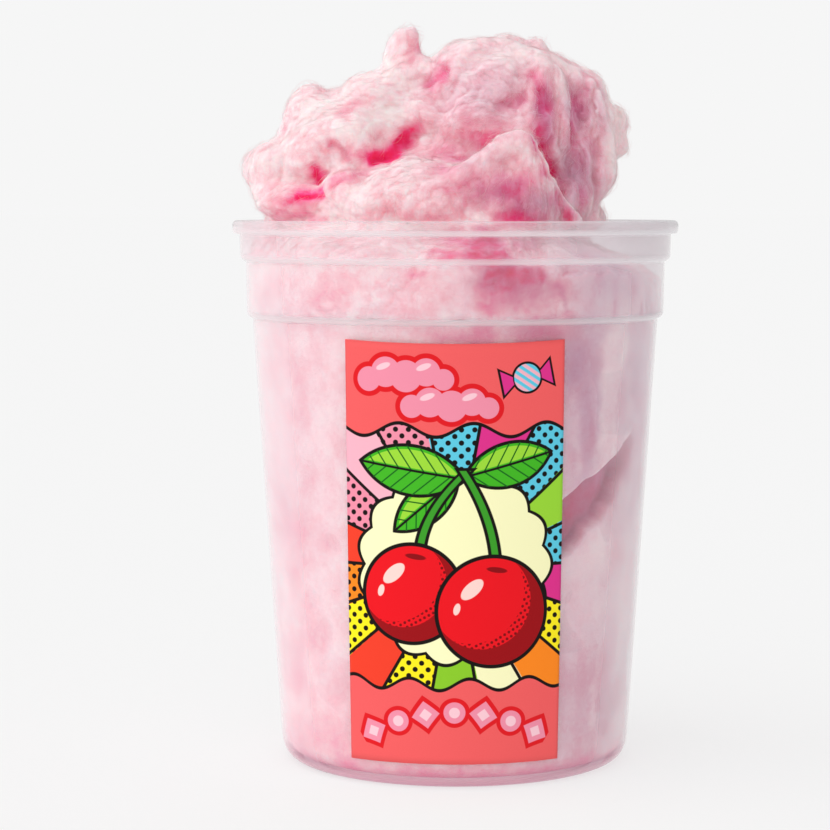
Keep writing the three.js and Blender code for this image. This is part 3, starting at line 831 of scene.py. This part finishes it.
def addFibres():
    rng = np.random.default_rng(9)
    normals = normalsOf(heapPoints, heapQuads)
    flow = flowOf(heapPoints, normals)
    high = heapPoints[:, 2] > tub["height"] - fibres["belowRim"]
    free = np.flatnonzero(high & (heapHollow < fibres["hollowest"]))
    for k in range(fibres["pieces"]):
        pick = rng.choice(free, fibres["perPiece"], replace=False)
        roots = heapPoints[pick]
        points, faces, each = fibreTubes(roots, normals[pick], flow[pick], rng)
        radius = np.hypot(points[:, 0], points[:, 1])
        low = points[:, 2] < tub["height"] + 0.5
        limit = innerRadius(points[:, 2]) - 0.1
        points[:, :2] *= np.where(low & (radius > limit), limit / np.maximum(radius, 1e-9), 1)[:, None]
        addPiece(f"flossFibres{k + 1}", points, faces, strandMaterial, "candy",
                 hollow=np.repeat(heapHollow[pick], each), mauve=np.repeat(heapMauveShade[pick], each))


addFibres()
print("fibres done")


# The label.
label = {
    "bottom": 6.8, "top": 112.4, "halfAngleLow": 34.0, "halfAngleHigh": 30.4, "gap": 0.3, "thickness": 0.15,
    "rows": 60, "columns": 60,
}


def labelPoint(across, height, outwards):  # across from -1 to 1, height in mm, distance off the tub's wall
    share = (height - label["bottom"]) / (label["top"] - label["bottom"])
    half = np.radians(label["halfAngleLow"] + (label["halfAngleHigh"] - label["halfAngleLow"]) * share)
    radius = wallRadius(height) + outwards
    return np.stack([radius * np.sin(across * half), -radius * np.cos(across * half), height], axis=-1)


def labelSheet():  # two bent grids, outside and inside, joined along their edges
    rows, columns = label["rows"], label["columns"]
    low, high = label["bottom"], label["top"]
    height, across = np.meshgrid(np.linspace(low, high, rows), np.linspace(-1, 1, columns), indexing="ij")
    height = height + 0.8 * (across ** 2 - 0.25) * smoothStep(low, high, height)
    outer = labelPoint(across, height, label["gap"] + label["thickness"]).reshape(-1, 3)
    inner = labelPoint(across, height, 0.02).reshape(-1, 3)
    quads = gridQuads(rows, columns)
    edge = np.concatenate([np.arange(columns), np.arange(1, rows) * columns + columns - 1,
                           (rows - 1) * columns + np.arange(columns - 2, -1, -1),
                           np.arange(rows - 2, 0, -1) * columns])
    around = np.stack([edge, edge + len(outer), np.roll(edge, -1) + len(outer), np.roll(edge, -1)], axis=1)
    return np.concatenate([outer, inner]), [quads, quads[:, ::-1] + len(outer), around]


def printedPaper():  # coated sticker paper: flat bright inks in black key lines over coral, satin
    material, tree = newMaterial("printedPaper")
    across, up = (Field(addNode(tree, "Attribute", {"attribute_name": attribute}).outputs["Fac"])
                  for attribute in ("across", "up"))
    place = addNode(tree, "CombineXYZ", {"X": across, "Y": up})
    black, red, pink, paleInk, cream = "#15100E", "#E21A22", "#F291A8", "#FBCBD5", "#FDFBC6"

    def local(x, y, turn=0.0, sizes=(1, 1)):  # steps and distance from a point, turned by degrees and scaled
        seen = addNode(tree, "Mapping", {
            "vector_type": "TEXTURE", "Location": (x, y, 0), "Scale": (*sizes, 1),
            "Rotation": (0, 0, math.radians(turn)), "Vector": place})
        steps = addNode(tree, "SeparateXYZ", {0: seen})
        away = addNode(tree, "VectorMath", {"operation": "LENGTH", 0: seen})
        return Field(steps.outputs[0]), Field(steps.outputs[1]), Field(away.outputs["Value"])

    def disc(x, y, radius):  # distances are in mm, below 0 inside
        return local(x, y)[2] - radius

    def oval(x, y, sizes, turn):
        return (local(x, y, turn, sizes)[2] - 1.0) * min(sizes)

    def root(value):
        return worked("SQRT", value)

    def ink(under, distance, tone, spread=0.0, share=1.0):  # a colour where distance is below spread
        mask = distance.between(spread - 0.07, spread + 0.07, 1.0, 0.0) * share
        tone = linear(tone) if isinstance(tone, str) else tone
        return addNode(tree, "Mix", {"data_type": "RGBA", 0: mask, 6: under, 7: tone}).outputs[2]

    def dots(spacing, radius, turn):  # a square grid of dots
        x, y = (worked("FRACT", step) - 0.5 for step in local(0, 0, turn, (spacing, spacing))[:2])
        return root(x * x + y * y) * spacing - radius

    grain = addNode(tree, "TexNoise", {"Scale": 3.0, "Detail": 2.0, "Vector": place})
    look = addNode(tree, "Mix", {"data_type": "RGBA", 0: grain, 6: linear("#F15C5E"),
                                 7: linear("#F56464")}).outputs[2]
    # A panel of rays with wavy edges.
    top = worked("SINE", across * 0.34) * 1.7 + 90.5
    foot = worked("SINE", across * 0.42) * 1.5 + 27.6
    panel = largest(up - top, foot - up)
    tones = ["#FF8A20", "#FFEE20", "#F2412A", "#FFEE20", "#8CCB2C", "#FDFBC6", "#FF8A20", "#FFEE20",
             "#E0338C", "#5FCBE3", "#9BD83A", "#5FCBE3", "#E0338C", "#5FCBE3", "#F291A8", "#F7B4C4",
             "#F291A8", "#F2412A"]
    plain, rays = (2, 4, 5, 6, 8, 10, 12, 15, 17), len(tones)
    awayX, awayY, middle = local(0, 57)
    turn = worked("ARCTAN2", awayY, awayX) * (0.5 / math.pi) + 0.5
    edge = (0.5 - abs(worked("FRACT", turn * float(rays)) - 0.5)) * middle * (2 * math.pi / rays)
    ramp = addNode(tree, "ValToRGB", {"Fac": turn})
    setStops(ramp, [(k / rays, tone) for k, tone in enumerate(tones)])
    ramp.color_ramp.interpolation = "CONSTANT"
    for k in plain:  # the alpha says which rays have dots
        ramp.color_ramp.elements[k].alpha = 0.0
    rayInk = ink(ramp, dots(2.3, 0.66, 45), black, 0.0, Field(ramp.outputs["Alpha"]))
    rayInk = ink(rayInk, edge, black, 0.42)
    look = ink(look, panel, black, 0.9)
    look = ink(look, panel, rayInk)
    # A cream disc with a scalloped edge.
    scallop = middle - (abs(worked("SINE", turn * (math.pi * 15))) * 2.0 + 22.6)
    look = ink(look, scallop, black, 0.9)
    look = ink(look, scallop, cream)
    # Three leaves: each the overlap of two circles, with a shaded half and slanting veins.
    for x, y, lean, long, wide in ((-7.0, 72.6, 221, 20.0, 8.5), (-10.6, 80.9, 171, 26.0, 11.5),
                                   (13.4, 82.3, 15, 22.0, 10.0)):
        radius, shift = (long * long + wide * wide) / (4 * wide), math.radians(lean + 90)
        along, beside, _ = local(x, y, lean)
        reach = radius - wide / 2
        leaf = largest(*(disc(x + way * reach * math.cos(shift), y + way * reach * math.sin(shift), radius)
                         for way in (-1, 1)))
        vein = (0.5 - abs(worked("FRACT", (along - abs(beside) * 0.9) * 0.31) - 0.5)) * 3.0
        look = ink(look, leaf, black, 0.85)
        look = ink(look, leaf, "#43B724")
        look = ink(look, largest(leaf, beside if lean > 90 else beside * -1.0), "#9EDB3C", -0.6)
        look = ink(look, largest(leaf, vein), "#17671B", 0.22)
        look = ink(look, largest(leaf, abs(beside)), black, 0.3)
    # Stems that bend from each cherry to the leaves, then the cherries.
    stemTop = 80.2
    for footX, footY, bendBy in ((-8.6, 59.0, 11.0), (10.2, 55.5, -7.8)):
        rise = (up - footY) * (1 / (stemTop - footY))
        stem = largest(abs(across - (rise * rise * bendBy + footX)) * 0.85, up - stemTop, footY - up)
        look = ink(look, stem, black, 1.45)
        look = ink(look, stem, "#3C9E2A", 0.7)
    for x, y, radius in ((-10.6, 50.0, 12.0), (9.4, 45.6, 13.4)):
        cherry = disc(x, y, radius)
        shade = largest(cherry, disc(x - 0.2 * radius, y + 0.22 * radius, 0.93 * radius) * -1.0)
        dim = largest(cherry, disc(x - 0.4 * radius, y + 0.4 * radius, radius) * -1.0)
        look = ink(look, cherry, black, 1.0)
        look = ink(look, cherry, "#EE1420")
        look = ink(look, largest(dim, dots(1.25, 0.36, 30)), "#7E0A10")
        look = ink(look, shade, "#9C0C14")
        look = ink(look, oval(x - 0.38 * radius, y + 0.42 * radius, (3.4, 1.7), 42), "#FFD8D0")
        look = ink(look, oval(x - 0.66 * radius, y + 0.05 * radius, (1.5, 0.8), 75), "#FFD8D0")
        look = ink(look, oval(x + 0.08 * radius, y + 0.78 * radius, (2.6, 0.7), -8), "#8C0A12")
    # Two long clouds above the panel.
    puffs = [(-21.6, 103.4, 3.3), (-17.2, 105.2, 4.0), (-12.0, 104.2, 4.2), (-7.0, 105.2, 3.7),
             (-2.8, 103.4, 2.9), (-10.6, 96.8, 3.1), (-6.1, 97.8, 3.9), (-0.8, 96.9, 4.1), (4.2, 97.9, 3.6),
             (8.2, 96.4, 2.9)]
    cloud = disc(*puffs[0])
    for puff in puffs[1:]:
        cloud = worked("MINIMUM", cloud, disc(*puff))
    look = ink(look, cloud, red, 1.0)
    look = ink(look, cloud, pink, -0.25)
    for k in (1, 3, 6, 8):
        x, y, radius = puffs[k]
        look = ink(look, oval(x - 0.6, y + 0.35 * radius, (1.9, 0.75), 20), paleInk)
    # A wrapped sweet in the corner.
    along, beside, _ = local(18.0, 103.8, 12)
    body, reach = disc(18.0, 103.8, 3.4), abs(along)
    wings = largest(abs(beside) - (reach - 2.4) * 0.72, reach - 6.5, 2.0 - reach)
    sweet = worked("MINIMUM", wings, body)
    look = ink(look, sweet, black, 0.6)
    look = ink(look, sweet, "#E0338C")
    look = ink(look, body, black, 0.35)
    look = ink(look, body, "#5FCBE3")
    look = ink(look, largest(body, worked("FRACT", (along + beside) * 0.42) - 0.5), "#F7B4C4")
    # An arched string of sweets below the panel: balls and diamonds in turn.
    arch = {"height": -22.0, "radius": 42.0, "step": 7.2, "halfCount": 3.5}
    awayX, awayY, away = local(0, arch["height"])
    beyond = away - arch["radius"]
    spot = worked("ARCTAN2", awayX, awayY) * (arch["radius"] / arch["step"]) + 0.5
    bead = (worked("FRACT", spot) - 0.5) * arch["step"]
    ball = root(bead * bead + beyond * beyond) - 2.7
    diamond = (abs(bead) + abs(beyond)) * 0.71 - 2.5
    other = worked("FRACT", worked("FLOOR", spot) * 0.5) * 2.0
    string = ball + other * (diamond - ball) + largest(abs(spot - 0.5) - arch["halfCount"], 0.0) * 100.0
    look = ink(look, string, red, 1.1)
    look = ink(look, string, pink)
    look = ink(look, string, paleInk, -1.35)
    skin = addNode(tree, "BsdfPrincipled", {"Roughness": 0.55, "Specular IOR Level": 0.1, "Base Color": look})
    addNode(tree, "OutputMaterial", {"Surface": skin})
    return material


labelPoints, labelFaces = labelSheet()
labelTurn = np.arctan2(labelPoints[:, 0], -labelPoints[:, 1])
addPiece("labelSheet", labelPoints, labelFaces, printedPaper(), "label", ["label"],
         across=labelTurn * wallRadius(labelPoints[:, 2]), up=labelPoints[:, 2])
print("label done")


# The floor, the light and the camera.
view = {"distance": 688.5, "height": 145.7, "pitch": 4.578, "turn": 0.877, "focal": 113.2}
light = {
    "background": 0.922, "ambient": 0.65, "key": 1.7, "keyAngle": 100, "keyTilt": 52, "keyTurn": -52,
    "floorHalf": 45.0, "floorTone": "#F6F6F6", "floorGlow": 0.74,  # the floor's half width is in metres
}


def addFloor():
    half = light["floorHalf"] / mm
    corners = np.array([[-half, -half, 0], [half, -half, 0], [half, half, 0], [-half, half, 0]])
    floor = bpy.data.objects.new("floor", buildMesh("floor", corners, [np.array([[0, 1, 2, 3]])]))
    bpy.context.scene.collection.objects.link(floor)
    material, tree = newMaterial("matteSweep")
    paper = addNode(tree, "BsdfDiffuse", {"Color": linear(light["floorTone"])})
    backlit = addNode(tree, "Emission", {"Strength": light["background"]})
    sweep = addNode(tree, "MixShader", {0: light["floorGlow"], 1: paper, 2: backlit})
    addNode(tree, "OutputMaterial", {"Surface": sweep})
    floor.data.materials.append(material)


def addLights():
    world = bpy.data.worlds.new("studio")
    bpy.context.scene.world = world
    world.use_nodes = True
    tree = world.node_tree
    tree.nodes.clear()
    cameraRay = addNode(tree, "LightPath").outputs["Is Camera Ray"]
    soft, seen = (addNode(tree, "Background", {"Color": (1, 1, 1, 1), "Strength": light[name]})
                  for name in ("ambient", "background"))
    mixed = addNode(tree, "MixShader", {0: cameraRay, 1: soft, 2: seen})
    addNode(tree, "OutputWorld", {"Surface": mixed})
    lamp = bpy.data.lights.new("key", "SUN")
    lamp.energy, lamp.angle = light["key"], math.radians(light["keyAngle"])
    key = bpy.data.objects.new("key", lamp)
    key.rotation_euler = (math.radians(light["keyTilt"]), 0, math.radians(light["keyTurn"]))
    bpy.context.scene.collection.objects.link(key)


def addCamera():
    lens = bpy.data.cameras.new("camera")
    lens.lens, lens.sensor_width = view["focal"], 36.0
    lens.clip_start, lens.clip_end = 0.01, 200.0
    camera = bpy.data.objects.new("camera", lens)
    camera.location = (0, -view["distance"] * mm, view["height"] * mm)
    camera.rotation_euler = (math.radians(90 - view["pitch"]), 0, math.radians(view["turn"]))
    bpy.context.scene.collection.objects.link(camera)
    bpy.context.scene.camera = camera


addFloor()
addLights()
addCamera()
bpy.context.scene.view_settings.view_transform = "Standard"
bpy.context.scene.cycles.transparent_max_bounces = 24
print("stage done")
